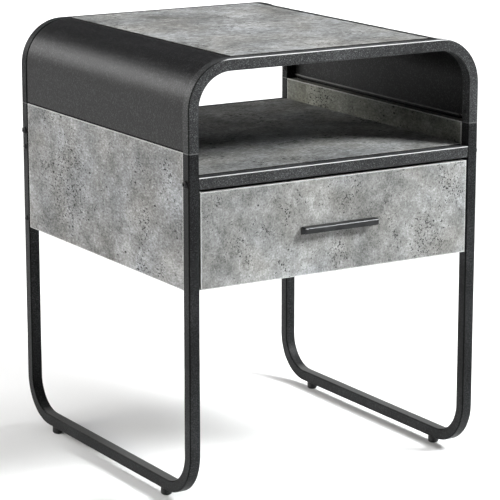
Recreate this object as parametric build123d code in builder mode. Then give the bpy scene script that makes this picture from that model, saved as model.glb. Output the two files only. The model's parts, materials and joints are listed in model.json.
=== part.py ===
"""Side table with one drawer and an open shelf, in millimetres.

Two inverted-U hoops of square steel tube stand on two U-shaped leg frames of the same tube.
Curved steel hoods close the sides of the open compartment, and board panels with a concrete
finish make the top, the shelf, the sides, the back and the drawer. The drawer runs on
ball-bearing slides.

X is the width (left is -X), Y is the depth (the drawer opens towards -Y), Z is up. The origin
is on the floor, under the middle of the table.
"""

from build123d import *
import os

# ---- driving dimensions -------------------------------------------------------------------
WIDTH = 460.0  # over the tubes
DEPTH = 480.0
HEIGHT = 600.0  # top of the top panel

TUBE = 16.0  # square tube
TUBE_WALL = 1.2
TUBE_CORNER = 2.0
BEND = 56.0  # bend radius at the tube's centre line

FOOT_HEIGHT = 10.0
FOOT_RADIUS = 7.5
FOOT_Y = 161.0
FOOT_ROUND = 3.0  # under the foot
FOOT_RIM = 0.8  # round the foot's top
FOOT_STEM = 8.0  # peg that stands in the tube
FOOT_STEM_RADIUS = 3.0

JOINT_Z = 480.0  # where the hoops stand on the leg frames
BOARD = 15.0  # thickness of every visible board
PROUD = 1.0  # how far the top panel and the shelf stand above the tubes
RECESS = 1.0  # how far hoods and side panels lie inside the tubes' outer faces
FIT = 0.3  # gap where a board meets a tube
TOP_GAP = 1.2  # gap round the top panel
SHELF_GAP = 0.6  # gap in front of and behind the shelf
SOFTEN = 0.5  # rounding of the boards' edges

RAIL_TOP = 448.0
CASE_BOTTOM = 297.5  # lower edge of the side panels and the back panel

SHEET = 1.5  # hood sheet
HOOD_EDGE = 157.5  # half width between the hoods' top edges
LEDGE = 14.0  # width of the ledge that carries the top panel
HEM_HEIGHT = 6.0
HEM_LENGTH = 406.0

DRAWER_GAP = 1.7  # each side of the drawer front
DRAWER_BOTTOM = 299.0
DRAWER_TOP = 428.5
DRAWER_FACE = 0.5  # drawer front behind the tubes' front face
DRAWER_TRAVEL = 300.0

BOX_BOARD = 12.0
BOX_BOTTOM = 308.0
BOX_HEIGHT = 100.0
BOX_REAR = 215.0
BOTTOM_SHEET = 4.0
BOTTOM_RAISE = 6.0
BOX_SOFTEN = 1.5  # rounding of the box boards' top edges
GROOVE = 5.0  # depth of the groove that holds the bottom sheet
GROOVE_PLAY = 0.4  # how much wider the groove is than the sheet

SLIDE_Z = 352.0
SLIDE_LENGTH = 400.0
SLIDE_FRONT = -220.0
SLIDE_HEIGHT = 35.0
SLIDE_WIDTH = 13.4
SLIDE_SHEET = 1.2

HANDLE_LENGTH = 116.0
HANDLE_REACH = 13.0
HANDLE_DROP = 8.5
HANDLE_TOP = 366.5
HANDLE_SHEET = 2.0
HANDLE_BEND = 3.0  # outer radius of its two bends
HANDLE_FLANGE = 11.0  # height of the flange on the drawer front
HANDLE_SCREW_X = 48.0

# ---- places that follow from them ----------------------------------------------------------
HALF_W = WIDTH / 2
HALF_D = DEPTH / 2
TUBE_X = HALF_W - TUBE / 2  # centre line of the posts
TUBE_Y = HALF_D - TUBE / 2
INNER_X = HALF_W - TUBE  # inner faces of the posts
INNER_Y = HALF_D - TUBE
TUBE_TOP = HEIGHT - PROUD
BORE = TUBE - 2 * TUBE_WALL
RAIL_Z = RAIL_TOP - TUBE / 2
FACE_Y = -HALF_D + DRAWER_FACE
FRONT_BACK_Y = FACE_Y + BOARD  # rear face of the drawer front
BOX_X = INNER_X - SLIDE_WIDTH  # outer faces of the drawer's sides
BOX_INNER_X = BOX_X - BOX_BOARD
SIDES = (("left", -1), ("right", 1))
ENDS = (("front", -1), ("rear", 1))

# ---- fasteners: shank radius, head radius, head height, hex socket's radius -------------------
RAIL_BOLT = (3.0, 5.25, 3.2, 2.3)
PANEL_SCREW = (2.0, 3.8, 2.2, 1.3)
SMALL_SCREW = (1.6, 3.1, 1.6, 1.0)
CLEAR = 0.1  # radial gap round every shank
SPARE = 1.0  # how much deeper a blind hole is than its screw
SCREW_RISE = 15.0  # spigot screws above the joint
SPIGOT_SCREW_LENGTH = 8.0
BACK_SCREW_Z = (310.0, 416.0)
BACK_SCREW_LENGTH = 40.0
TOP_SCREW_Y = 150.0
TOP_SCREW_LENGTH = 12.0
BOX_SCREW_LENGTH = 30.0
SLIDE_SCREW_Y = (-190.0, 60.0, 150.0)
CHANNEL_SCREW_LENGTH = 11.0
CHANNEL_SCREW_SEAT = 2.3  # radius of the seat that its cone needs in the side panel
RUNNER_SCREW_LENGTH = 10.0

PIN_RADIUS = 2.5
PIN_LENGTH = 16.0
PIN_REACH = 5.0  # how far a pin stands into the post
PIN_Z = (CASE_BOTTOM + 25, JOINT_Z - 45)
PANEL_X = INNER_X + (BOARD - RECESS) / 2  # line of the pins

CAM_Y = 150.0
CAM_RADIUS = 7.5
CAM_INSET = 24.0  # cam centre from the edge of its board
CAM_SHORT = 0.5  # how much shorter a cam is than its hole is deep
SHELF_CAM_DEPTH = 12.0
DRAWER_CAM_DEPTH = 9.5
CAM_SLOT = (8.0, 1.2, 2.0)  # length, width and depth of its cross slot
CAM_BOLT_RADIUS = 3.0
CAM_BOLT_ANCHOR = 9.5  # how far a cam bolt is screwed into the other board

os.makedirs("parts", exist_ok=True)


def save(piece, label):
    """Label a finished piece and write it to its own file."""
    piece.part.label = label
    export_step(piece.part, f"parts/{label}.step")


def across(side, x, y, z):
    """Plane at a point, looking out of the table towards the left (-1) or the right (1)."""
    return Plane(origin=(x, y, z), x_dir=(0, 1, 0), z_dir=(side, 0, 0))


def along(end, x, y, z):
    """Plane at a point, looking out of the table towards the front (-1) or the rear (1)."""
    return Plane(origin=(x, y, z), x_dir=(1, 0, 0), z_dir=(0, end, 0))


# ---- tube frame ----------------------------------------------------------------------------
def tube_section():
    """Hollow square section with rounded corners."""
    RectangleRounded(TUBE, TUBE, TUBE_CORNER)
    RectangleRounded(BORE, BORE, TUBE_CORNER - TUBE_WALL, mode=Mode.SUBTRACT)


for end_name, end in ENDS:
    post_y = end * TUBE_Y
    with BuildPart() as hoop:
        with BuildLine(Plane.XZ.offset(-post_y)):
            FilletPolyline(
                (-TUBE_X, JOINT_Z),
                (-TUBE_X, TUBE_TOP - TUBE / 2),
                (TUBE_X, TUBE_TOP - TUBE / 2),
                (TUBE_X, JOINT_Z),
                radius=BEND,
            )
        with BuildSketch(Plane(origin=(-TUBE_X, post_y, JOINT_Z), z_dir=(0, 0, 1))):
            tube_section()
        sweep()
        for _, side in SIDES:
            with Locations(across(-side, side * INNER_X, post_y, JOINT_Z + SCREW_RISE)):
                Hole(SMALL_SCREW[0] + CLEAR, depth=2 * TUBE_WALL)
    save(hoop, f"{end_name}_hoop")

for side_name, side in SIDES:
    post_x = side * TUBE_X
    with BuildPart() as leg_frame:
        with BuildLine(Plane.YZ.offset(post_x)):
            FilletPolyline(
                (-TUBE_Y, JOINT_Z),
                (-TUBE_Y, FOOT_HEIGHT + TUBE / 2),
                (TUBE_Y, FOOT_HEIGHT + TUBE / 2),
                (TUBE_Y, JOINT_Z),
                radius=BEND,
            )
        with BuildSketch(Plane(origin=(post_x, -TUBE_Y, JOINT_Z), z_dir=(0, 0, -1))):
            tube_section()
        sweep()
        # bolt holes for the shelf rails, right through both posts
        with Locations(*[across(side, side * HALF_W, end * TUBE_Y, RAIL_Z) for _, end in ENDS]):
            Hole(RAIL_BOLT[0] + CLEAR, depth=TUBE)
        # screw holes for the back panel, through the rear post
        with Locations(*[across(side, side * HALF_W, TUBE_Y, z) for z in BACK_SCREW_Z]):
            Hole(PANEL_SCREW[0] + CLEAR, depth=TUBE)
        # locating pin holes for the side panel, in the faces the posts turn to each other
        for _, end in ENDS:
            with Locations(*[along(-end, side * PANEL_X, end * INNER_Y, z) for z in PIN_Z]):
                Hole(PIN_RADIUS + CLEAR, depth=2 * TUBE_WALL)
        # foot holes in the underside
        with Locations(
            Plane(origin=(post_x, -FOOT_Y, FOOT_HEIGHT), z_dir=(0, 0, -1)),
            Plane(origin=(post_x, FOOT_Y, FOOT_HEIGHT), z_dir=(0, 0, -1)),
        ):
            Hole(FOOT_STEM_RADIUS + CLEAR, depth=2 * TUBE_WALL)
    save(leg_frame, f"{side_name}_leg_frame")

SPIGOT = BORE - 0.4  # solid square, loose in the tube's bore
SPIGOT_HALF = 22.0  # how far it reaches into each tube
SPIGOT_EDGE = 1.2
with BuildPart() as joint_spigots:
    with Locations((0, 0, JOINT_Z)):
        with GridLocations(2 * TUBE_X, 2 * TUBE_Y, 2, 2):
            Box(SPIGOT, SPIGOT, 2 * SPIGOT_HALF)
    fillet(joint_spigots.edges().filter_by(Axis.Z), SPIGOT_EDGE)
    chamfer(joint_spigots.edges().group_by(Axis.Z)[0], SPIGOT_EDGE / 2)
    chamfer(joint_spigots.edges().group_by(Axis.Z)[-1], SPIGOT_EDGE / 2)
    for _, side in SIDES:
        for _, end in ENDS:
            face_x = side * (TUBE_X - SPIGOT / 2)
            with Locations(across(-side, face_x, end * TUBE_Y, JOINT_Z + SCREW_RISE)):
                Hole(SMALL_SCREW[0] + CLEAR, depth=SPIGOT_SCREW_LENGTH + SPARE)
save(joint_spigots, "joint_spigots")


def button_screws(label, places, size, length):
    """Button-head socket screws: places are planes on the seat, looking out of the head."""
    shank, head, height, socket = size
    with BuildPart() as screws:
        for place in places:
            with BuildSketch(place):
                Circle(shank)
            extrude(amount=-length)
            with BuildSketch(place):
                Circle(head)
            extrude(amount=height)
            crown = place.offset(height)
            circles = screws.edges().filter_by(GeomType.CIRCLE)
            rims = circles.filter_by(lambda circle: circle.radius > shank)
            fillet(rims.sort_by_distance(crown.origin)[0], 0.8 * height)
            with BuildSketch(crown):
                RegularPolygon(socket, 6)
            extrude(amount=-0.6 * height, mode=Mode.SUBTRACT)
    save(screws, label)


button_screws(
    "spigot_screws",
    [
        across(-side, side * INNER_X, end * TUBE_Y, JOINT_Z + SCREW_RISE)
        for _, side in SIDES
        for _, end in ENDS
    ],
    SMALL_SCREW,
    SPIGOT_SCREW_LENGTH,
)

# ---- shelf rails ---------------------------------------------------------------------------
INSERT_LENGTH = 18.0
for end_name, end in ENDS:
    with BuildPart() as rail:
        with BuildSketch(across(1, -INNER_X, end * TUBE_Y, RAIL_Z)):
            tube_section()
        extrude(amount=2 * INNER_X)
    save(rail, f"{end_name}_rail")

with BuildPart() as rail_end_inserts:
    for _, side in SIDES:
        for _, end in ENDS:
            with BuildSketch(across(-side, side * INNER_X, end * TUBE_Y, RAIL_Z)):
                RectangleRounded(SPIGOT, SPIGOT, SPIGOT_EDGE)
                Circle(RAIL_BOLT[0] + CLEAR, mode=Mode.SUBTRACT)
            extrude(amount=INSERT_LENGTH)
save(rail_end_inserts, "rail_end_inserts")

button_screws(
    "rail_bolts",
    [
        across(side, side * HALF_W, end * TUBE_Y, RAIL_Z)
        for _, side in SIDES
        for _, end in ENDS
    ],
    RAIL_BOLT,
    TUBE + INSERT_LENGTH,
)

# ---- feet ----------------------------------------------------------------------------------
for end_name, end in ENDS:
    for side_name, side in SIDES:
        with BuildPart() as foot:
            with BuildSketch(Plane(origin=(side * TUBE_X, end * FOOT_Y, 0))):
                Circle(FOOT_RADIUS)
            extrude(amount=FOOT_HEIGHT)
            fillet(foot.edges().group_by(Axis.Z)[0], FOOT_ROUND)
            fillet(foot.edges().group_by(Axis.Z)[-1], FOOT_RIM)
            with BuildSketch(Plane(origin=(side * TUBE_X, end * FOOT_Y, FOOT_HEIGHT / 2))):
                Circle(FOOT_STEM_RADIUS)
            extrude(amount=FOOT_HEIGHT / 2 + FOOT_STEM)
        save(foot, f"{end_name}_{side_name}_foot")

# ---- hoods ---------------------------------------------------------------------------------
HOOD_X = HALF_W - RECESS - SHEET  # inner face of the hood's upright part
HOOD_TOP = TUBE_TOP - RECESS - SHEET  # inner face of its top
LEDGE_TOP = HEIGHT - BOARD
HOOD_BEND = BEND + TUBE / 2 - RECESS - SHEET
HOOD_BOTTOM = JOINT_Z + FIT
HOOD_HALF_LENGTH = INNER_Y - FIT

for side_name, side in SIDES:
    with BuildPart() as hood:
        with BuildSketch(Plane.XZ.offset(-HOOD_HALF_LENGTH)):
            with BuildLine():
                # outer outline: up the side, round the corner, over to the top panel, down to the ledge
                outer = FilletPolyline(
                    (side * (HOOD_X + SHEET), HOOD_BOTTOM),
                    (side * (HOOD_X + SHEET), HOOD_TOP + SHEET),
                    (side * HOOD_EDGE, HOOD_TOP + SHEET),
                    radius=HOOD_BEND + SHEET,
                )
                Polyline(
                    outer @ 1,
                    (side * HOOD_EDGE, LEDGE_TOP),
                    (side * (HOOD_EDGE - LEDGE), LEDGE_TOP),
                    (side * (HOOD_EDGE - LEDGE), LEDGE_TOP - SHEET),
                    (side * (HOOD_EDGE + SHEET), LEDGE_TOP - SHEET),
                    (side * (HOOD_EDGE + SHEET), HOOD_TOP),
                )
                inner = FilletPolyline(
                    (side * (HOOD_EDGE + SHEET), HOOD_TOP),
                    (side * HOOD_X, HOOD_TOP),
                    (side * HOOD_X, HOOD_BOTTOM),
                    radius=HOOD_BEND,
                )
                Line(inner @ 1, outer @ 0)
            make_face()
        extrude(amount=2 * HOOD_HALF_LENGTH)
        # hem folded up inside the lower edge
        with BuildSketch(Plane(origin=(side * (HOOD_X - SHEET / 2), 0, HOOD_BOTTOM))):
            Rectangle(SHEET, HEM_LENGTH)
        extrude(amount=HEM_HEIGHT)
        top_holes = [
            Plane(origin=(side * (HOOD_EDGE - LEDGE / 2), y, LEDGE_TOP - SHEET), z_dir=(0, 0, -1))
            for y in (-TOP_SCREW_Y, TOP_SCREW_Y)
        ]
        with Locations(*top_holes):
            Hole(PANEL_SCREW[0] + CLEAR, depth=SHEET)
    save(hood, f"{side_name}_hood")

# ---- boards --------------------------------------------------------------------------------
with BuildPart() as top_panel:
    with BuildSketch(Plane.XY.offset(LEDGE_TOP)):
        Rectangle(2 * (HOOD_EDGE - TOP_GAP), 2 * (INNER_Y - TOP_GAP))
    extrude(amount=BOARD)
    fillet(top_panel.edges().group_by(Axis.Z)[-1], SOFTEN)
    screw_holes = [
        Plane(origin=(side * (HOOD_EDGE - LEDGE / 2), y, LEDGE_TOP), z_dir=(0, 0, -1))
        for _, side in SIDES
        for y in (-TOP_SCREW_Y, TOP_SCREW_Y)
    ]
    with Locations(*screw_holes):
        Hole(PANEL_SCREW[0] + CLEAR, depth=TOP_SCREW_LENGTH)
save(top_panel, "top_panel")

button_screws(
    "top_panel_screws",
    [place.offset(SHEET) for place in screw_holes],
    PANEL_SCREW,
    TOP_SCREW_LENGTH,
)

SHELF_TOP = RAIL_TOP + PROUD
SHELF_Z = SHELF_TOP - BOARD / 2
SHELF_HALF_X = INNER_X - FIT

for side_name, side in SIDES:
    with BuildPart() as side_panel:
        with BuildSketch(across(side, side * INNER_X, 0, (CASE_BOTTOM + JOINT_Z) / 2)):
            Rectangle(2 * (INNER_Y - FIT), JOINT_Z - CASE_BOTTOM)
        extrude(amount=BOARD)
        fillet(side_panel.faces().sort_by(Axis.X)[-1 if side > 0 else 0].edges(), SOFTEN)
        for _, end in ENDS:
            with Locations(*[along(end, side * PANEL_X, end * (INNER_Y - FIT), z) for z in PIN_Z]):
                Hole(PIN_RADIUS + CLEAR, depth=PIN_LENGTH - PIN_REACH)
        with Locations(*[across(-side, side * INNER_X, y, SLIDE_Z) for y in SLIDE_SCREW_Y]):
            CounterSinkHole(SMALL_SCREW[0] + CLEAR, CHANNEL_SCREW_SEAT, depth=CHANNEL_SCREW_LENGTH)
        with Locations(*[across(-side, side * INNER_X, y, SHELF_Z) for y in (-CAM_Y, CAM_Y)]):
            Hole(CAM_BOLT_RADIUS + CLEAR, depth=CAM_BOLT_ANCHOR + SPARE)
    save(side_panel, f"{side_name}_side_panel")

with BuildPart() as side_panel_pins:
    for _, side in SIDES:
        for _, end in ENDS:
            for pin_z in PIN_Z:
                with BuildSketch(along(-end, side * PANEL_X, end * (INNER_Y + PIN_REACH), pin_z)):
                    Circle(PIN_RADIUS)
                extrude(amount=PIN_LENGTH)
save(side_panel_pins, "side_panel_pins")

CAM_X = SHELF_HALF_X - CAM_INSET
with BuildPart() as shelf:
    with BuildSketch(Plane.XY.offset(SHELF_TOP - BOARD)):
        Rectangle(2 * SHELF_HALF_X, 2 * (INNER_Y - SHELF_GAP))
    extrude(amount=BOARD)
    fillet(shelf.edges().group_by(Axis.Z)[-1], SOFTEN)
    cam_places = [
        Plane(origin=(side * CAM_X, y, SHELF_TOP - BOARD), z_dir=(0, 0, -1))
        for _, side in SIDES
        for y in (-CAM_Y, CAM_Y)
    ]
    with Locations(*cam_places):
        Hole(CAM_RADIUS + CLEAR, depth=SHELF_CAM_DEPTH)
    for _, side in SIDES:
        with Locations(*[across(side, side * SHELF_HALF_X, y, SHELF_Z) for y in (-CAM_Y, CAM_Y)]):
            Hole(CAM_BOLT_RADIUS + CLEAR, depth=CAM_INSET)
save(shelf, "shelf")


def cam_locks(label, places, depth):
    """Cam locks: discs with a cross slot; places are planes on the board's face, looking out."""
    slot_length, slot_width, slot_depth = CAM_SLOT
    with BuildPart() as cams:
        for place in places:
            with BuildSketch(place):
                Circle(CAM_RADIUS)
            extrude(amount=CAM_SHORT - depth)
            with BuildSketch(place):
                Rectangle(slot_length, slot_width)
                Rectangle(slot_width, slot_length)
            extrude(amount=-slot_depth, mode=Mode.SUBTRACT)
    save(cams, label)


cam_locks("shelf_cams", cam_places, SHELF_CAM_DEPTH)

with BuildPart() as shelf_cam_bolts:
    for _, side in SIDES:
        for y in (-CAM_Y, CAM_Y):
            with BuildSketch(across(-side, side * (INNER_X + CAM_BOLT_ANCHOR), y, SHELF_Z)):
                Circle(CAM_BOLT_RADIUS)
            extrude(amount=CAM_BOLT_ANCHOR + CAM_INSET - CAM_RADIUS)
save(shelf_cam_bolts, "shelf_cam_bolts")

BACK_TOP = RAIL_TOP - TUBE - FIT
with BuildPart() as back_panel:
    with BuildSketch(along(1, 0, TUBE_Y - BOARD / 2, (CASE_BOTTOM + BACK_TOP) / 2)):
        Rectangle(2 * (INNER_X - FIT), BACK_TOP - CASE_BOTTOM)
    extrude(amount=BOARD)
    fillet(back_panel.faces().sort_by(Axis.Y)[-1].edges(), SOFTEN)
    for _, side in SIDES:
        with Locations(*[across(side, side * (INNER_X - FIT), TUBE_Y, z) for z in BACK_SCREW_Z]):
            Hole(PANEL_SCREW[0] + CLEAR, depth=BACK_SCREW_LENGTH - TUBE)
save(back_panel, "back_panel")

button_screws(
    "back_panel_screws",
    [
        across(side, side * HALF_W, TUBE_Y, z)
        for _, side in SIDES
        for z in BACK_SCREW_Z
    ],
    PANEL_SCREW,
    BACK_SCREW_LENGTH,
)

# ---- ball-bearing slides ---------------------------------------------------------------------
# Depths are measured from the side panel's inner face towards the drawer.
CHANNEL_DEPTH = 10.5
CHANNEL_LIP = 3.0
RUNNER_HALF = 11.9  # half its height
RUNNER_EDGE = 2.6  # depth where its flanges begin
BALL_RADIUS = 1.75
BALL_DEPTH = 5.0
BALL_Z = 14.1  # ball rows above and below the slide's middle
BALL_PLAY = 0.2
CAGE_FACE = 1.5  # depth of the cage's web
CAGE_SHEET = 0.8
CAGE_DEPTH = 8.5
CAGE_LENGTH = 96.0
CAGE_FRONT = SLIDE_FRONT + DRAWER_TRAVEL / 2 + 2.0
BALL_COUNT = 5
BALL_PITCH = 18.0
BALL_FIRST = CAGE_FRONT + (CAGE_LENGTH - (BALL_COUNT - 1) * BALL_PITCH) / 2
SCREW_SLOT = (3.6, 0.8, 0.8)  # length, width and depth of a countersunk head's cross slot


def slide_face(side, y):
    """Sketch plane across a slide: local X is the depth from the side panel, local Y is up."""
    return Plane(origin=(side * INNER_X, y, SLIDE_Z), x_dir=(-side, 0, 0), z_dir=(0, side, 0))


def strip(near, far, low, high):
    """A rectangle of a slide's section, between two depths and two heights."""
    with Locations(((near + far) / 2, (low + high) / 2)):
        Rectangle(far - near, high - low)


for side_name, side in SIDES:
    half = SLIDE_HEIGHT / 2
    start_y = SLIDE_FRONT if side > 0 else SLIDE_FRONT + SLIDE_LENGTH
    cage_start_y = CAGE_FRONT if side > 0 else CAGE_FRONT + CAGE_LENGTH
    ball_x = side * (INNER_X - BALL_DEPTH)
    ball_places = [(ball_x, BALL_FIRST + n * BALL_PITCH) for n in range(BALL_COUNT)]

    with BuildPart() as channel:
        with BuildSketch(slide_face(side, start_y)):
            strip(0, SLIDE_SHEET, -half, half)
            for up in (-1, 1):
                low, high = sorted((up * half, up * (half - SLIDE_SHEET)))
                strip(0, CHANNEL_DEPTH, low, high)
                low, high = sorted((up * half, up * (half - CHANNEL_LIP)))
                strip(CHANNEL_DEPTH - SLIDE_SHEET, CHANNEL_DEPTH, low, high)
        extrude(amount=SLIDE_LENGTH)
        web_x = side * (INNER_X - SLIDE_SHEET)
        with Locations(*[across(-side, web_x, y, SLIDE_Z) for y in SLIDE_SCREW_Y]):
            CounterSinkHole(SMALL_SCREW[0] + CLEAR, SMALL_SCREW[1] + CLEAR, depth=SLIDE_SHEET)
    save(channel, f"{side_name}_slide_channel")

    with BuildPart() as runner:
        with BuildSketch(slide_face(side, start_y)):
            strip(SLIDE_WIDTH - SLIDE_SHEET, SLIDE_WIDTH, -RUNNER_HALF, RUNNER_HALF)
            for up in (-1, 1):
                low, high = sorted((up * RUNNER_HALF, up * (RUNNER_HALF - SLIDE_SHEET)))
                strip(RUNNER_EDGE, SLIDE_WIDTH, low, high)
        extrude(amount=SLIDE_LENGTH)
        web_x = side * (BOX_X + SLIDE_SHEET)
        with Locations(*[across(side, web_x, y, SLIDE_Z) for y in SLIDE_SCREW_Y]):
            Hole(SMALL_SCREW[0] + CLEAR, depth=SLIDE_SHEET)
    save(runner, f"{side_name}_slide_runner")

    with BuildPart() as cage:
        with BuildSketch(slide_face(side, cage_start_y)):
            cage_half = BALL_Z + CAGE_SHEET / 2
            strip(CAGE_FACE, CAGE_FACE + CAGE_SHEET, -cage_half, cage_half)
            for up in (-1, 1):
                middle = up * BALL_Z
                strip(CAGE_FACE, CAGE_DEPTH, middle - CAGE_SHEET / 2, middle + CAGE_SHEET / 2)
        extrude(amount=CAGE_LENGTH)
        for x, y in ball_places:
            with Locations((x, y, SLIDE_Z + BALL_Z), (x, y, SLIDE_Z - BALL_Z)):
                Cylinder(BALL_RADIUS + BALL_PLAY, 2 * CAGE_SHEET, mode=Mode.SUBTRACT)
    save(cage, f"{side_name}_ball_cage")

    with BuildPart() as balls:
        for x, y in ball_places:
            with Locations((x, y, SLIDE_Z + BALL_Z), (x, y, SLIDE_Z - BALL_Z)):
                Sphere(BALL_RADIUS)
    save(balls, f"{side_name}_slide_balls")


with BuildPart() as slide_channel_screws:
    shank, head = SMALL_SCREW[:2]
    slot_length, slot_width, slot_depth = SCREW_SLOT
    for _, side in SIDES:
        for y in SLIDE_SCREW_Y:
            head_face = across(-side, side * (INNER_X - SLIDE_SHEET), y, SLIDE_Z).offset(-CLEAR)
            with BuildSketch(head_face):
                Circle(shank)
            extrude(amount=-CHANNEL_SCREW_LENGTH)
            # countersunk head with a cross slot
            with BuildSketch(head_face):
                Circle(head)
            with BuildSketch(head_face.offset(shank - head)):
                Circle(shank)
            loft()
            with BuildSketch(head_face):
                Rectangle(slot_length, slot_width)
                Rectangle(slot_width, slot_length)
            extrude(amount=-slot_depth, mode=Mode.SUBTRACT)
save(slide_channel_screws, "slide_channel_screws")

button_screws(
    "slide_runner_screws",
    [
        across(side, side * (BOX_X + SLIDE_SHEET), y, SLIDE_Z)
        for _, side in SIDES
        for y in SLIDE_SCREW_Y
    ],
    SMALL_SCREW,
    RUNNER_SCREW_LENGTH,
)

# ---- drawer --------------------------------------------------------------------------------
FRONT_HALF_X = INNER_X - DRAWER_GAP
DRAWER_CAM_Z = (BOX_BOTTOM + 30, BOX_BOTTOM + BOX_HEIGHT - 20)
HANDLE_SCREW_Z = HANDLE_TOP - 7.0
BOTTOM_Z = BOX_BOTTOM + BOTTOM_RAISE
BOX_SCREW_Z = (BOX_BOTTOM + 28, BOX_BOTTOM + BOX_HEIGHT - 28)
BOX_MIDDLE_Y = (FRONT_BACK_Y + BOX_REAR) / 2
BOX_MIDDLE_Z = BOX_BOTTOM + BOX_HEIGHT / 2
BACK_MIDDLE_Y = BOX_REAR - BOX_BOARD / 2

handle_screw_places = [
    along(1, x, FRONT_BACK_Y, HANDLE_SCREW_Z) for x in (-HANDLE_SCREW_X, HANDLE_SCREW_X)
]
with BuildPart() as drawer_front:
    with BuildSketch(along(-1, 0, FRONT_BACK_Y, (DRAWER_BOTTOM + DRAWER_TOP) / 2)):
        Rectangle(2 * FRONT_HALF_X, DRAWER_TOP - DRAWER_BOTTOM)
    extrude(amount=BOARD)
    fillet(drawer_front.faces().sort_by(Axis.Y)[0].edges(), SOFTEN)
    # groove for the bottom sheet
    with BuildSketch(along(1, 0, FRONT_BACK_Y, BOTTOM_Z + BOTTOM_SHEET / 2)):
        Rectangle(2 * (BOX_INNER_X + GROOVE), BOTTOM_SHEET + GROOVE_PLAY)
    extrude(amount=-GROOVE, mode=Mode.SUBTRACT)
    with Locations(*handle_screw_places):
        Hole(PANEL_SCREW[0] + CLEAR, depth=BOARD)
    for _, side in SIDES:
        bolt_x = side * (BOX_X - BOX_BOARD / 2)
        with Locations(*[along(1, bolt_x, FRONT_BACK_Y, z) for z in DRAWER_CAM_Z]):
            Hole(CAM_BOLT_RADIUS + CLEAR, depth=CAM_BOLT_ANCHOR + SPARE)
save(drawer_front, "drawer_front")

for side_name, side in SIDES:
    with BuildPart() as drawer_side:
        with BuildSketch(across(side, side * BOX_INNER_X, BOX_MIDDLE_Y, BOX_MIDDLE_Z)):
            Rectangle(BOX_REAR - FRONT_BACK_Y, BOX_HEIGHT)
        extrude(amount=BOX_BOARD)
        fillet(drawer_side.edges().filter_by(Axis.Y).group_by(Axis.Z)[-1], BOX_SOFTEN)
        with BuildSketch(across(-side, side * BOX_INNER_X, 0, BOTTOM_Z + BOTTOM_SHEET / 2)):
            Rectangle(2 * HALF_D, BOTTOM_SHEET + GROOVE_PLAY)
        extrude(amount=-GROOVE, mode=Mode.SUBTRACT)
        with Locations(*[across(side, side * BOX_X, y, SLIDE_Z) for y in SLIDE_SCREW_Y]):
            Hole(SMALL_SCREW[0] + CLEAR, depth=RUNNER_SCREW_LENGTH - SLIDE_SHEET + CLEAR)
        cam_y = FRONT_BACK_Y + CAM_INSET
        with Locations(*[across(-side, side * BOX_INNER_X, cam_y, z) for z in DRAWER_CAM_Z]):
            Hole(CAM_RADIUS + CLEAR, depth=DRAWER_CAM_DEPTH)
        bolt_x = side * (BOX_X - BOX_BOARD / 2)
        with Locations(*[along(-1, bolt_x, FRONT_BACK_Y, z) for z in DRAWER_CAM_Z]):
            Hole(CAM_BOLT_RADIUS + CLEAR, depth=CAM_INSET)
        with Locations(*[across(side, side * BOX_X, BACK_MIDDLE_Y, z) for z in BOX_SCREW_Z]):
            Hole(SMALL_SCREW[0] + CLEAR, depth=BOX_BOARD)
    save(drawer_side, f"drawer_{side_name}_side")

with BuildPart() as drawer_back:
    with BuildSketch(along(1, 0, BOX_REAR - BOX_BOARD, BOX_MIDDLE_Z)):
        Rectangle(2 * BOX_INNER_X, BOX_HEIGHT)
    extrude(amount=BOX_BOARD)
    fillet(drawer_back.edges().filter_by(Axis.X).group_by(Axis.Z)[-1], BOX_SOFTEN)
    with BuildSketch(along(-1, 0, BOX_REAR - BOX_BOARD, BOTTOM_Z + BOTTOM_SHEET / 2)):
        Rectangle(2 * BOX_INNER_X, BOTTOM_SHEET + GROOVE_PLAY)
    extrude(amount=-GROOVE, mode=Mode.SUBTRACT)
    for _, side in SIDES:
        with Locations(*[across(side, side * BOX_INNER_X, BACK_MIDDLE_Y, z) for z in BOX_SCREW_Z]):
            Hole(SMALL_SCREW[0] + CLEAR, depth=BOX_SCREW_LENGTH - BOX_BOARD + SPARE)
save(drawer_back, "drawer_back")

BOTTOM_FRONT_Y = FRONT_BACK_Y - GROOVE + FIT
BOTTOM_REAR_Y = BOX_REAR - BOX_BOARD + GROOVE - FIT
with BuildPart() as drawer_bottom:
    with BuildSketch(Plane(origin=(0, (BOTTOM_FRONT_Y + BOTTOM_REAR_Y) / 2, BOTTOM_Z))):
        Rectangle(2 * (BOX_INNER_X + GROOVE - FIT), BOTTOM_REAR_Y - BOTTOM_FRONT_Y)
    extrude(amount=BOTTOM_SHEET)
save(drawer_bottom, "drawer_bottom")

cam_locks(
    "drawer_cams",
    [
        across(-side, side * BOX_INNER_X, FRONT_BACK_Y + CAM_INSET, z)
        for _, side in SIDES
        for z in DRAWER_CAM_Z
    ],
    DRAWER_CAM_DEPTH,
)

with BuildPart() as drawer_cam_bolts:
    for _, side in SIDES:
        for z in DRAWER_CAM_Z:
            bolt_x = side * (BOX_X - BOX_BOARD / 2)
            with BuildSketch(along(1, bolt_x, FRONT_BACK_Y - CAM_BOLT_ANCHOR, z)):
                Circle(CAM_BOLT_RADIUS)
            extrude(amount=CAM_BOLT_ANCHOR + CAM_INSET - CAM_RADIUS - CAM_SHORT)
save(drawer_cam_bolts, "drawer_cam_bolts")

button_screws(
    "drawer_box_screws",
    [
        across(side, side * BOX_X, BACK_MIDDLE_Y, z)
        for _, side in SIDES
        for z in BOX_SCREW_Z
    ],
    SMALL_SCREW,
    BOX_SCREW_LENGTH,
)

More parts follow.
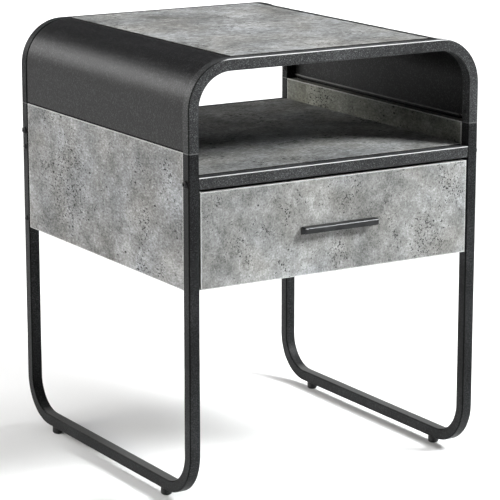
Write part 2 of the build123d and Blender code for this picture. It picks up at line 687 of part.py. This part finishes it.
# ---- handle --------------------------------------------------------------------------------
with BuildPart() as drawer_handle:
    with BuildSketch(Plane.YZ.offset(-HANDLE_LENGTH / 2)):
        with BuildLine():
            outside = FilletPolyline(
                (FACE_Y, HANDLE_TOP - HANDLE_FLANGE),
                (FACE_Y, HANDLE_TOP),
                (FACE_Y - HANDLE_REACH, HANDLE_TOP),
                (FACE_Y - HANDLE_REACH, HANDLE_TOP - HANDLE_DROP),
                radius=HANDLE_BEND,
            )
            inside = FilletPolyline(
                (FACE_Y - HANDLE_REACH + HANDLE_SHEET, HANDLE_TOP - HANDLE_DROP),
                (FACE_Y - HANDLE_REACH + HANDLE_SHEET, HANDLE_TOP - HANDLE_SHEET),
                (FACE_Y - HANDLE_SHEET, HANDLE_TOP - HANDLE_SHEET),
                (FACE_Y - HANDLE_SHEET, HANDLE_TOP - HANDLE_FLANGE),
                radius=HANDLE_BEND - HANDLE_SHEET,
            )
            Line(outside @ 1, inside @ 0)
            Line(inside @ 1, outside @ 0)
        make_face()
    extrude(amount=HANDLE_LENGTH)
    with Locations(*[place.offset(-BOARD) for place in handle_screw_places]):
        Hole(PANEL_SCREW[0] + CLEAR, depth=HANDLE_SHEET)
save(drawer_handle, "drawer_handle")

button_screws("handle_screws", handle_screw_places, PANEL_SCREW, BOARD + HANDLE_SHEET - CLEAR)
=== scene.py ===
"""Looks of the side table with drawer: materials, floor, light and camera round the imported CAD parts.

Everything is in metres in the part's own frame: X is the width, Y the depth (the drawer opens
towards -Y) and Z is up.
"""

import json
import math

import bpy
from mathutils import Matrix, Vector


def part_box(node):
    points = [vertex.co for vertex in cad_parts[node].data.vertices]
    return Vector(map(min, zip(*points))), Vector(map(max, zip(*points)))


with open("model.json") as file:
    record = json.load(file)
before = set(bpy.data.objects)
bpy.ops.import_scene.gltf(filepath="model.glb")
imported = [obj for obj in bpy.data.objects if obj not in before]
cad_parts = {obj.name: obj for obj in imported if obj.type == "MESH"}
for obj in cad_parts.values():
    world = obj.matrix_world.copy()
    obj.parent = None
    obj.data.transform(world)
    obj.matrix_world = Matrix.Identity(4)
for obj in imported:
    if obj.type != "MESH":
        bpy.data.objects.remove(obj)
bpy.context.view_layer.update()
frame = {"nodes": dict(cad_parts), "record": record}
nodes = frame["nodes"]


# ---- node helpers ----------------------------------------------------------------------------
class Shader:
    """One node material. Each method adds a node and returns the socket that carries its result.

    A texture's scale is the number of its cells in a metre, and distances are in metres.
    """

    def __init__(self, name, turn=(0, 0, 0), offset=(0, 0, 0)):
        self.material = bpy.data.materials.new(name)
        self.material.use_nodes = True
        self.tree = self.material.node_tree
        self.tree.nodes.clear()
        self.output = self.tree.nodes.new("ShaderNodeOutputMaterial")
        self.surface = self.tree.nodes.new("ShaderNodeBsdfPrincipled")
        self.tree.links.new(self.surface.outputs["BSDF"], self.output.inputs["Surface"])
        place = self.tree.nodes.new("ShaderNodeTexCoord")
        self.place = self.mapping(place.outputs["Object"], turn=turn, offset=offset)

    def add(self, kind, **settings):
        node = self.tree.nodes.new(kind)
        for key, value in settings.items():
            setattr(node, key, value)
        return node

    def put(self, socket, value):
        """Links a socket, or sets its number or colour."""
        if isinstance(value, bpy.types.NodeSocket):
            self.tree.links.new(value, socket)
        else:
            socket.default_value = value

    def mapping(self, vector, scale=(1, 1, 1), turn=(0, 0, 0), offset=(0, 0, 0)):
        node = self.add("ShaderNodeMapping")
        self.put(node.inputs["Vector"], vector)
        node.inputs["Scale"].default_value = scale
        node.inputs["Rotation"].default_value = turn
        node.inputs["Location"].default_value = offset
        return node.outputs["Vector"]

    def noise(self, vector, scale, detail=4.0, roughness=0.5, distortion=0.0):
        node = self.add("ShaderNodeTexNoise")
        self.put(node.inputs["Vector"], vector)
        node.inputs["Scale"].default_value = scale
        node.inputs["Detail"].default_value = detail
        node.inputs["Roughness"].default_value = roughness
        node.inputs["Distortion"].default_value = distortion
        return node.outputs["Fac"]

    def cells(self, vector, scale, output="Distance"):
        """Distance to the nearest cell's middle, or with "Color" that cell's own random colour."""
        node = self.add("ShaderNodeTexVoronoi")
        self.put(node.inputs["Vector"], vector)
        node.inputs["Scale"].default_value = scale
        return node.outputs[output]

    def spread(self, value, gain):
        """Noise about 0.5 turned into noise about 0."""
        return self.math("MULTIPLY", self.math("SUBTRACT", value, 0.5), gain)

    def around(self, middle, half_size):
        """1 at a place and fading to 0 at the half size from it."""
        place = self.add("ShaderNodeTexCoord").outputs["Object"]
        scale = tuple(1 / h for h in half_size)
        shift = tuple(-m / h for m, h in zip(middle, half_size))
        reach = self.add("ShaderNodeVectorMath", operation="LENGTH")
        self.put(reach.inputs[0], self.mapping(place, scale=scale, offset=shift))
        return self.range(reach.outputs["Value"], 1.0, 0.25, 0.0, 1.0, smooth=True)

    def ramp(self, value, stops):
        """Turns a number into a grey or a colour: stops are (position, grey) or (position, colour)."""
        node = self.add("ShaderNodeValToRGB")
        while len(node.color_ramp.elements) < len(stops):
            node.color_ramp.elements.new(0.5)
        for element, (position, colour) in zip(node.color_ramp.elements, stops):
            element.position = position
            element.color = (*colour, 1) if isinstance(colour, tuple) else (colour, colour, colour, 1)
        self.put(node.inputs["Fac"], value)
        return node.outputs["Color"]

    def math(self, operation, a, b=0.0):
        node = self.add("ShaderNodeMath", operation=operation)
        self.put(node.inputs[0], a)
        self.put(node.inputs[1], b)
        return node.outputs["Value"]

    def range(self, value, low, high, to_low=0.0, to_high=1.0, smooth=False):
        """Carries low to high over to to_low to to_high, and holds at both ends."""
        node = self.add("ShaderNodeMapRange", interpolation_type="SMOOTHSTEP" if smooth else "LINEAR")
        self.put(node.inputs["Value"], value)
        node.inputs["From Min"].default_value = low
        node.inputs["From Max"].default_value = high
        node.inputs["To Min"].default_value = to_low
        node.inputs["To Max"].default_value = to_high
        return node.outputs["Result"]

    def mix(self, factor, a, b, blend="MIX"):
        """Mixes two colours. The node's sockets for colour are inputs 6 and 7 and output 2."""
        node = self.add("ShaderNodeMix", data_type="RGBA", blend_type=blend)
        self.put(node.inputs["Factor"], factor)
        self.put(node.inputs[6], a if isinstance(a, bpy.types.NodeSocket) else (*a, 1))
        self.put(node.inputs[7], b if isinstance(b, bpy.types.NodeSocket) else (*b, 1))
        return node.outputs[2]

    def bump(self, height, distance, strength):
        node = self.add("ShaderNodeBump")
        self.put(node.inputs["Height"], height)
        node.inputs["Distance"].default_value = distance
        self.put(node.inputs["Strength"], strength)
        return node.outputs["Normal"]

    def coordinate(self, output, axis):
        split = self.add("ShaderNodeSeparateXYZ")
        self.put(split.inputs["Vector"], self.add("ShaderNodeTexCoord").outputs[output])
        return split.outputs[axis]

    def place_part(self, axis):
        """Where the point lies along an axis of the part, in metres."""
        return self.coordinate("Object", axis)

    def normal_part(self, axis):
        """The surface normal's part along an axis: on Z, 1 looks up and -1 looks down."""
        return self.coordinate("Normal", axis)

    def facing(self, axis):
        """How squarely the surface faces along an axis of the part: 0 to 1."""
        return self.math("ABSOLUTE", self.normal_part(axis))

    def corners(self, axis):
        """1 on the rounded corners of a square tube bent about the axis, and 0 on its faces."""
        square = self.math("POWER", self.facing(axis), 2.0)
        other = self.math("SUBTRACT", 1.0, square)
        return self.math("MULTIPLY", self.math("MULTIPLY", square, 4.0), other)

    def edges(self, radius, low, high):
        """1 along sharp edges and 0 on flat faces."""
        bevel = self.add("ShaderNodeBevel", samples=6)
        bevel.inputs["Radius"].default_value = radius
        geometry = self.add("ShaderNodeNewGeometry")
        dot = self.add("ShaderNodeVectorMath", operation="DOT_PRODUCT")
        self.put(dot.inputs[0], bevel.outputs["Normal"])
        self.put(dot.inputs[1], geometry.outputs["True Normal"])
        return self.range(dot.outputs["Value"], high, low, 0.0, 1.0)

    def finish(self, **inputs):
        """Sets the shader's own sockets, such as base_color or roughness."""
        for key, value in inputs.items():
            socket = self.surface.inputs[key.replace("_", " ").title().replace("Ior", "IOR")]
            if isinstance(value, tuple) and len(value) == 3:
                value = (*value, 1)
            self.put(socket, value)
        return self.material


def wear(piece, material):
    """Gives a CAD node one material."""
    piece.data.materials.clear()
    piece.data.materials.append(material)
    for polygon in piece.data.polygons:
        polygon.material_index = 0


# ---- materials -------------------------------------------------------------------------------
PIT = (0.012, 0.012, 0.0115)
EDGE_BAND = (0.012, 0.012, 0.012)
PAINTED_EDGE_HIGHLIGHT = (0.66, 0.66, 0.645)
METAL_FLAKE = (0.30, 0.305, 0.31)
SATIN_FLECK = (0.30, 0.30, 0.31)
PAINTED_TOP_LIGHT = (0.22, 0.22, 0.215)
PAINTED_SEAM_HIGHLIGHT = (0.20, 0.20, 0.20)
PAINTED_CORNER_HIGHLIGHT = (0.70, 0.70, 0.70)
PAINTED_HEM_HIGHLIGHT = (0.22, 0.22, 0.22)
PAINTED_SHADE_BLACK = (0.001, 0.001, 0.001)
PALE_EDGE_LAMINATE = (0.13, 0.13, 0.125)


def concrete(
    name,
    turn=(0, 0, 0),
    offset=(0, 0, 0),
    light=1.0,
    streak=2.0,
    grain=1.0,
    sandy=1.0,
    cluster=None,
    stain=None,
    rim="pale",
    painted_light_tint=1.0,
):
    """Concrete-look laminate. The board's long direction is local X after turn.

    grain scales the sand and the pits, and sandy is how strong the sand is. cluster is the middle
    and the half size of the place where the pits gather, and stain those of a darker patch. A pale
    rim is a painted highlight along the board's arrises, and a black rim is a black edge band round
    a board that lies flat. light makes the whole board lighter or darker and warmth scales its blue:
    both are painted light and shade for how each board is lit.
    """
    look = Shader(name, turn=turn, offset=offset)
    along = look.mapping(look.place, scale=(1, streak, streak))

    # cloudy grey, then mottling down to the size of sand
    clouds = look.spread(look.noise(look.place, 11.0, 4.0, 0.55, 0.6), 1.05)
    mottle = look.spread(look.noise(along, 52.0, 8.0, 0.72, 0.15), 1.05)
    sand = look.spread(look.noise(along, 400.0 * grain, 3.0, 0.8, 0.1), 1.25)
    tone = look.math("ADD", look.math("ADD", clouds, mottle), look.math("MULTIPLY", sand, sandy))
    if stain:
        tone = look.math("SUBTRACT", tone, look.math("MULTIPLY", look.around(*stain), 0.12))
    # the whole grey is scaled per board: painted light and shade for how the board is lit
    grey = look.ramp(
        look.math("ADD", tone, 0.5),
        [
            (0.15, tuple(light * c for c in (0.095, 0.095, 0.092))),
            (0.42, tuple(light * c for c in (0.195, 0.196, 0.192))),
            (0.60, tuple(light * c for c in (0.265, 0.267, 0.264))),
            (0.90, tuple(light * c for c in (0.45, 0.455, 0.46))),
        ],
    )
    # warm and cool stains
    cast = look.noise(look.mapping(look.place, offset=(3.1, 1.7, 0.4)), 11.0, 3.0, 0.5, 0.4)
    # the blue is scaled per board: a painted tint of the light on it
    warm = (1.015, 1.0, 0.965 * painted_light_tint)
    cool = (0.98, 1.0, 1.02 * painted_light_tint)
    colour = look.mix(1.0, grey, look.ramp(cast, [(0.35, warm), (0.65, cool)]), "MULTIPLY")

    # ragged pits that gather in places, and a few round ones
    where = look.noise(look.mapping(look.place, offset=(0.7, 2.9, 5.3)), 18.0, 4.0, 0.6)
    gather = look.range(where, 0.49, 0.65, 0.05, 1.0, smooth=True)
    if cluster:
        gather = look.math("MAXIMUM", gather, look.math("MULTIPLY", look.around(*cluster), 0.92))
    chips = look.noise(look.mapping(along, offset=(1.9, 0.2, 4.4)), 420.0 * grain, 3.0, 0.65, 0.3)
    edge_of_pit = look.math("SUBTRACT", 0.665, look.math("MULTIPLY", gather, 0.105))
    ragged = look.range(look.math("SUBTRACT", chips, edge_of_pit), 0.0, 0.012)
    hole = look.range(look.cells(along, 80.0 * grain), 0.115, 0.09)
    chosen = look.math("GREATER_THAN", look.cells(along, 80.0 * grain, "Color"), 0.66)
    pit = look.math("MAXIMUM", ragged, look.math("MULTIPLY", hole, chosen))
    colour = look.mix(look.math("MULTIPLY", pit, 0.92), colour, PIT)
    # painted highlight along the arrises of a board with a pale rim
    if rim == "pale":
        edge = look.edges(0.003, 0.93, 0.995)
        colour = look.mix(look.math("MULTIPLY", edge, 0.85), colour, PAINTED_EDGE_HIGHLIGHT)
    else:
        colour = look.mix(look.range(look.facing("Z"), 0.3, 0.6), EDGE_BAND, colour)

    height = look.math("SUBTRACT", look.math("MULTIPLY", look.math("ADD", mottle, sand), 0.6), pit)
    return look.finish(
        base_color=colour,
        roughness=look.range(sand, -0.2, 0.2, 0.58, 0.74),
        normal=look.bump(height, 0.0004, 0.7),
        specular_ior_level=0.18,
    )


JOINT_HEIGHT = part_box("front_hoop")[0][2]  # where the hoops meet the leg frames


def powder_coat(name, base, axis, sparkle, corner_highlight=0.0, top_light=0.0, specular=0.2):
    """Fine textured black paint with a metallic speckle, for a square tube bent about an axis.

    The argument after sparkle sets how bright a painted highlight on the rounded upper corners of
    the level runs is; the other corners get painted shade in black, except where they look down.
    The next argument greys the faces that look up lighter: painted top light. A thin painted
    highlight lines the seam where the hoops stand on the leg frames.
    """
    look = Shader(name)
    fine = look.noise(look.place, 820.0, 2.0, 0.8)
    broad = look.noise(look.place, 14.0, 3.0, 0.5)
    level = look.math("ADD", look.spread(fine, 1.25), look.spread(broad, 0.35))
    colour = look.ramp(
        look.math("ADD", level, 0.5),
        [(0.30, tuple(0.2 * c for c in base)), (0.55, base), (0.75, tuple(4.0 * c for c in base))],
    )
    flakes = look.cells(look.place, 1050.0, "Color")
    bright = look.math("GREATER_THAN", flakes, 0.82)
    colour = look.mix(look.math("MULTIPLY", bright, sparkle), colour, METAL_FLAKE)
    up = look.normal_part("Z")
    # painted top light: the faces that look up are greyed lighter
    lit_top = look.math("MULTIPLY", look.range(up, 0.90, 0.99), top_light)
    colour = look.mix(lit_top, colour, PAINTED_TOP_LIGHT)
    # painted highlight: a thin light line at the seam where the hoops meet the leg frames
    from_joint = look.math("ABSOLUTE", look.math("SUBTRACT", look.place_part("Z"), JOINT_HEIGHT))
    colour = look.mix(look.range(from_joint, 0.0009, 0.0004, 0.0, 0.5), colour, PAINTED_SEAM_HIGHLIGHT)

    # painted highlight on the rounded upper corners of the level runs
    corner = look.corners(axis)
    level_run = look.range(look.facing("X" if axis == "Y" else "Y"), 0.16, 0.04)
    upper = look.math("MULTIPLY", level_run, look.range(up, 0.30, 0.55))
    highlit_corner = look.math("MULTIPLY", corner, upper)
    # painted shade: the other rounded corners, except those looking down, darken to black
    black = look.math("MULTIPLY", look.math("SUBTRACT", corner, highlit_corner), look.range(up, -0.5, -0.2))
    colour = look.mix(look.math("MULTIPLY", black, 0.9), colour, PAINTED_SHADE_BLACK)
    colour = look.mix(look.math("MULTIPLY", highlit_corner, corner_highlight), colour, PAINTED_CORNER_HIGHLIGHT)
    rough = look.range(fine, 0.3, 0.7, 0.36, 0.50)
    return look.finish(
        base_color=colour,
        roughness=look.math("ADD", rough, look.math("MULTIPLY", black, 0.45)),
        normal=look.bump(fine, 0.0003, look.range(corner, 0.0, 0.5, 0.65, 0.15)),
        specular_ior_level=specular,
    )


HEM_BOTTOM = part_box("left_hood")[0][2]  # lower edge of the hoods
HEM_TOP = HEM_BOTTOM + 0.006  # top of the hem folded up inside them


def satin_paint(name):
    """Smooth sheet paint with a slight orange peel, a painted shadow line at the lower edge and a
    painted highlight on the hem.
    """
    look = Shader(name)
    peel = look.noise(look.place, 420.0, 3.0, 0.7)
    broad = look.noise(look.place, 6.0, 3.0, 0.5)
    colour = look.ramp(
        look.math("ADD", look.math("MULTIPLY", peel, 0.5), look.math("MULTIPLY", broad, 0.5)),
        [(0.35, (0.0015, 0.0015, 0.0017)), (0.65, (0.0045, 0.0045, 0.005))],
    )
    flecks = look.math("GREATER_THAN", look.cells(look.place, 620.0, "Color"), 0.72)
    colour = look.mix(look.math("MULTIPLY", flecks, 0.07), colour, SATIN_FLECK)
    z = look.place_part("Z")
    # painted highlight along the top of the hem inside the hood
    outward = look.math("MULTIPLY", look.place_part("X"), look.normal_part("X"))
    inward = look.math("LESS_THAN", outward, 0.0)
    hem = look.math("MULTIPLY", look.range(z, HEM_TOP + 0.0004, HEM_TOP), inward)
    hem = look.math("MULTIPLY", hem, look.range(z, HEM_TOP - 0.0020, HEM_TOP - 0.0014))
    colour = look.mix(look.math("MULTIPLY", hem, 0.9), colour, PAINTED_HEM_HIGHLIGHT)
    # painted shadow line along the lower edge of the hood
    painted_shadow_line = look.range(z, HEM_BOTTOM + 0.0026, HEM_BOTTOM + 0.0014)
    colour = look.mix(painted_shadow_line, colour, PAINTED_SHADE_BLACK)
    rough = look.range(peel, 0.3, 0.7, 0.36, 0.46)
    return look.finish(
        base_color=colour,
        roughness=look.math("ADD", rough, look.math("MULTIPLY", painted_shadow_line, 0.5)),
        normal=look.bump(peel, 0.0004, 0.8),
        specular_ior_level=0.2,
    )


def metal(name, base, rough, stretch=(1, 1, 1), edge_light=0.2):
    """Bare or plated metal with a fine grain along one direction."""
    look = Shader(name)
    lines = look.noise(look.mapping(look.place, scale=stretch), 400.0, 4.0, 0.65)
    broad = look.noise(look.place, 60.0, 3.0, 0.55)
    mixed = look.math("ADD", look.math("MULTIPLY", lines, 0.5), look.math("MULTIPLY", broad, 0.5))
    dark = tuple(0.72 * c for c in base)
    pale = tuple(1.15 * c for c in base)
    colour = look.ramp(mixed, [(0.35, dark), (0.65, pale)])
    edge = look.math("MULTIPLY", look.edges(0.0006, 0.7, 0.98), edge_light)
    colour = look.mix(edge, colour, tuple(min(1.0, 1.6 * c) for c in base))
    return look.finish(
        base_color=colour,
        metallic=1.0,
        roughness=look.range(mixed, 0.3, 0.7, rough - 0.07, rough + 0.09),
        normal=look.bump(lines, 0.00005, 0.4),
    )


def plastic(name, base, rough):
    """Moulded plastic or rubber with a fine texture."""
    look = Shader(name)
    fine = look.noise(look.place, 500.0, 3.0, 0.6)
    broad = look.noise(look.place, 40.0, 3.0, 0.5)
    mixed = look.math("ADD", look.math("MULTIPLY", fine, 0.6), look.math("MULTIPLY", broad, 0.4))
    dark = tuple(0.75 * c for c in base)
    pale = tuple(1.25 * c for c in base)
    colour = look.ramp(mixed, [(0.35, dark), (0.65, pale)])
    return look.finish(
        base_color=colour,
        roughness=look.range(fine, 0.3, 0.7, rough - 0.06, rough + 0.08),
        normal=look.bump(fine, 0.0001, 0.5),
    )


def box_board(name):
    """Black laminate of the drawer's box, with a faint wood pore."""
    look = Shader(name)
    pores = look.noise(look.mapping(look.place, scale=(1, 0.06, 1)), 420.0, 4.0, 0.7, 0.3)
    broad = look.noise(look.place, 12.0, 3.0, 0.5)
    mixed = look.math("ADD", look.math("MULTIPLY", pores, 0.6), look.math("MULTIPLY", broad, 0.4))
    colour = look.ramp(mixed, [(0.36, (0.018, 0.018, 0.018)), (0.64, (0.05, 0.049, 0.047))])
    # lighter along the sharp edges
    edge = look.math("MULTIPLY", look.edges(0.001, 0.7, 0.98), 0.4)
    colour = look.mix(edge, colour, PALE_EDGE_LAMINATE)
    return look.finish(
        base_color=colour,
        roughness=look.range(pores, 0.3, 0.7, 0.45, 0.62),
        normal=look.bump(pores, 0.00015, 0.5),
    )


SIDEWAYS = math.radians(90)
# The boards' brightness and tint differ as painted light and shade: the top, the shelf and the right
# side darker, the right side warmer and the left side a little cooler.
BOARDS = {
    "top_panel": concrete(
        "concrete_top",
        offset=(0.3, 1.1, 2.0),
        light=0.79,
        streak=1.5,
        grain=0.36,
        sandy=1.4,
        rim="black",
    ),
    "shelf": concrete(
        "concrete_shelf",
        offset=(2.3, 4.1, 0.7),
        light=0.93,
        streak=1.5,
        grain=0.38,
        sandy=1.4,
        rim="black",
    ),
    "left_side_panel": concrete(
        "concrete_left",
        turn=(0, SIDEWAYS, 0),
        offset=(5.2, 0.6, 3.0),
        light=1.01,
        streak=0.55,
        grain=0.85,
        sandy=1.15,
        cluster=((-0.229, 0.10, 0.385), (1.0, 0.09, 0.13)),
        stain=((-0.229, 0.155, 0.335), (1.0, 0.05, 0.06)),
        painted_light_tint=1.03,
    ),
    "right_side_panel": concrete(
        "concrete_right",
        turn=(0, SIDEWAYS, 0),
        offset=(1.2, 7.6, 4.4),
        light=0.84,
        streak=0.55,
        grain=0.85,
        cluster=((0.229, -0.06, 0.36), (1.0, 0.09, 0.1)),
        painted_light_tint=0.88,
    ),
    "back_panel": concrete("concrete_back", offset=(4.0, 2.2, 6.1), streak=1.2),
    "drawer_front": concrete(
        "concrete_drawer",
        offset=(7.7, 3.4, 1.9),
        light=1.02,
        streak=0.9,
        sandy=0.9,
        cluster=((0.15, -0.24, 0.33), (0.045, 1.0, 0.06)),
        stain=((-0.18, -0.24, 0.36), (0.07, 1.0, 0.12)),
    ),
}
# The legs and the rear hoop wear darker copies of the tubes' black powder coat: painted shade.
SHADED_LEG_COAT = powder_coat("leg_powder_coat_painted_shade", (0.0125, 0.013, 0.0135), "X", 0.05, top_light=0.35, specular=0.10)
TUBES = {
    "left_leg_frame": SHADED_LEG_COAT,
    "right_leg_frame": SHADED_LEG_COAT,
    "rear_hoop": powder_coat("rear_powder_coat_painted_shade", (0.014, 0.0145, 0.015), "Y", 0.15, specular=0.05),
}
SLOT_LOOKS = {
    "black_tube": powder_coat("tube_powder_coat", (0.026, 0.0268, 0.0275), "Y", 0.26, corner_highlight=0.7),
    "hood_sheet": satin_paint("hood_satin_paint"),
    "drawer_box_board": box_board("drawer_box_laminate"),
    "foot_plastic": plastic("foot_rubber", (0.012, 0.012, 0.012), 0.55),
    "black_screw": metal("black_oxide", (0.035, 0.035, 0.036), 0.42),
    "zinc_steel": metal("zinc_plate", (0.55, 0.56, 0.58), 0.32),
    "ball_steel": metal("bearing_steel", (0.75, 0.76, 0.78), 0.16),
    "inner_plastic": plastic("natural_nylon", (0.55, 0.54, 0.50), 0.45),
    "handle_metal": metal(
        "handle_gunmetal", (0.055, 0.056, 0.057), 0.42, stretch=(0.04, 1, 1), edge_light=0.06
    ),
}
for entry in frame["record"]["subparts"]:
    name = entry["node"]
    wear(nodes[name], BOARDS.get(name) or TUBES.get(name) or SLOT_LOOKS[entry["material_slot"]])


# ---- floor, light and camera -------------------------------------------------------------------
FLOOR_HALF = 9.0
MIDDLE = (0, 0, 0.35)  # the place on the table that most lights look at
RING_LIGHTS = 8
RING_RADIUS = 6.5
RING_HEIGHT = 4.0
RING_SIZE = (4.0, 4.0)
RING_POWER = 100
SENSOR = 36.0
LENS = 171.0
EYE = (-1.7238, -2.8237, 1.0497)
HEADING = math.radians(31.543)  # from +Y towards +X
TILT = math.radians(13.101)  # below the horizon


def floor():
    """Pale seamless floor."""
    mesh = bpy.data.meshes.new("floor")
    corners = [(x * FLOOR_HALF, y * FLOOR_HALF, 0) for x, y in ((-1, -1), (1, -1), (1, 1), (-1, 1))]
    mesh.from_pydata(corners, [], [(0, 1, 2, 3)])
    piece = bpy.data.objects.new("floor", mesh)
    bpy.context.scene.collection.objects.link(piece)
    look = Shader("floor_paper")
    soft = look.noise(look.place, 3.0, 3.0, 0.5)
    colour = look.ramp(soft, [(0.3, (0.86, 0.86, 0.86)), (0.7, (0.89, 0.89, 0.89))])
    mesh.materials.append(look.finish(base_color=colour, roughness=0.9, specular_ior_level=0.1))


def softbox(name, place, aim, size, power, spread=180.0, tint=(1.0, 1.0, 1.0)):
    """Rectangular area light that looks at a point. spread is the width of its beam in degrees."""
    light = bpy.data.lights.new(name, "AREA")
    light.shape = "RECTANGLE"
    light.size, light.size_y = size
    light.energy = power
    light.color = tint
    light.spread = math.radians(spread)
    lamp = bpy.data.objects.new(name, light)
    lamp.location = place
    lamp.rotation_mode = "QUATERNION"
    lamp.rotation_quaternion = (Vector(aim) - Vector(place)).to_track_quat("-Z", "Y")
    lamp.visible_camera = False
    bpy.context.scene.collection.objects.link(lamp)


def lights():
    """Soft key from the front right, fill from the left and the rear, and a ring over the floor."""
    softbox("overhead", (1.2, 0.1, 2.9), MIDDLE, (1.2, 1.2), 36)
    softbox("front_key", (1.9, -2.3, 2.7), MIDDLE, (1.2, 1.0), 38, spread=70, tint=(0.975, 0.995, 1.0))
    softbox("left_high", (-2.6, 0.2, 2.0), MIDDLE, (1.4, 1.2), 2.5, spread=50)
    softbox("left_low", (-2.3, 1.1, 0.95), (0.2, 0.15, 0.45), (0.7, 0.5), 18, tint=(1.0, 0.98, 0.88))
    softbox("back_left", (-1.05, 1.3, 1.07), (-0.2, -0.1, 0.55), (0.9, 0.5), 13)
    softbox("back_card", (-1.57, 2.5, 0.5), (0, 0, 0.5), (1.8, 0.9), 1.0)
    softbox("backdrop", (1.6, 3.4, 3.0), (1.6, 3.4, 0), (3.0, 3.0), 45, spread=100)
    for step in range(RING_LIGHTS):
        turn = math.tau * step / RING_LIGHTS
        x = RING_RADIUS * math.cos(turn)
        y = RING_RADIUS * math.sin(turn)
        softbox(f"ring_{step}", (x, y, RING_HEIGHT), (x, y, 0), RING_SIZE, RING_POWER, spread=76)


def surroundings():
    """White behind everything; as a light the room is dark at the horizon and paler overhead."""
    world = bpy.data.worlds.new("studio")
    bpy.context.scene.world = world
    world.use_nodes = True
    tree = world.node_tree
    seen = tree.nodes["Background"]
    seen.inputs["Color"].default_value = (1, 1, 1, 1)
    lit = tree.nodes.new("ShaderNodeBackground")
    place = tree.nodes.new("ShaderNodeTexCoord")
    split = tree.nodes.new("ShaderNodeSeparateXYZ")
    height = tree.nodes.new("ShaderNodeValToRGB")
    height.color_ramp.elements[0].position = 0.35
    height.color_ramp.elements[0].color = (0.015, 0.015, 0.015, 1)
    height.color_ramp.elements[1].position = 0.9
    height.color_ramp.elements[1].color = (0.5, 0.5, 0.51, 1)
    path = tree.nodes.new("ShaderNodeLightPath")
    choose = tree.nodes.new("ShaderNodeMixShader")
    link = tree.links.new
    link(place.outputs["Generated"], split.inputs["Vector"])
    link(split.outputs["Z"], height.inputs["Fac"])
    link(height.outputs["Color"], lit.inputs["Color"])
    link(path.outputs["Is Camera Ray"], choose.inputs["Fac"])
    link(lit.outputs["Background"], choose.inputs[1])
    link(seen.outputs["Background"], choose.inputs[2])
    link(choose.outputs["Shader"], tree.nodes["World Output"].inputs["Surface"])


def camera():
    """Long lens in front of the table's left corner, looking down on the top."""
    data = bpy.data.cameras.new("camera")
    data.sensor_width = SENSOR
    data.lens = LENS
    data.clip_start = 0.1
    data.clip_end = 100.0
    view = bpy.data.objects.new("camera", data)
    view.location = EYE
    view.rotation_euler = (math.radians(90) - TILT, 0, -HEADING)
    bpy.context.scene.collection.objects.link(view)
    bpy.context.scene.camera = view


floor()
surroundings()
lights()
camera()
bpy.context.scene.view_settings.view_transform = "Standard"
